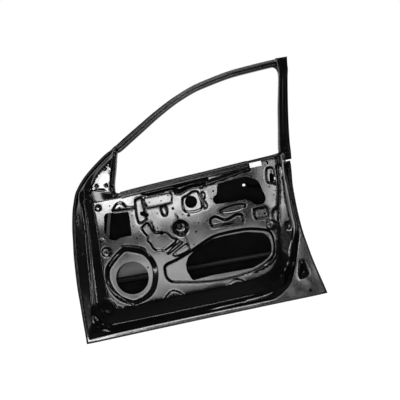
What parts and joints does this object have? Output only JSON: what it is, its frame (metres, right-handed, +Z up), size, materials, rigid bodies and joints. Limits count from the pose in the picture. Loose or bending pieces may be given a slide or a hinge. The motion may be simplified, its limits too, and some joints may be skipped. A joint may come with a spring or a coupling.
{
  "type": "car door shell",
  "caption": "Bare pressed-steel shell of a right front car door: deep-drawn inner panel, hemmed outer skin and a narrow window frame, in black primer.",
  "frame": {"origin": "centre of the lower hinge face, on the front wall of the inner panel", "axes": "+X from the hinge edge towards the lock edge, +Y from the passenger side towards the outer skin, +Z up"},
  "size_m": [1.1619, 0.1418, 1.0898],
  "materials": {
    "black_primer": "smooth black electrophoretic primer, semi-gloss",
    "primed_steel": "black primer over thicker steel, satin",
    "white_paper": "blank matt white paper"
  },
  "bodies": {
    "root": {"beam_bracket_front": "primed_steel", "beam_bracket_rear": "primed_steel", "belt_rail_inner": "black_primer", "belt_rail_outer": "primed_steel", "check_nut_1": "primed_steel", "check_nut_2": "primed_steel", "check_plate": "primed_steel", "front_glass_run": "primed_steel", "handle_plate": "primed_steel", "header_frame": "black_primer", "hinge_nut_lower_1": "primed_steel", "hinge_nut_lower_2": "primed_steel", "hinge_nut_upper_1": "primed_steel", "hinge_nut_upper_2": "primed_steel", "hinge_plate_lower": "primed_steel", "hinge_plate_upper": "primed_steel", "impact_beam": "primed_steel", "inner_panel": "black_primer", "label": "white_paper", "latch_nut_1": "primed_steel", "latch_nut_2": "primed_steel", "latch_nut_3": "primed_steel", "latch_plate": "primed_steel", "mirror_nut_front": "primed_steel", "mirror_nut_rear": "primed_steel", "mirror_nut_top": "primed_steel", "mirror_plate": "primed_steel", "outer_skin": "black_primer", "rear_glass_run": "primed_steel", "rear_sash": "black_primer", "sash_cover": "black_primer"}
  },
  "joints": []
}
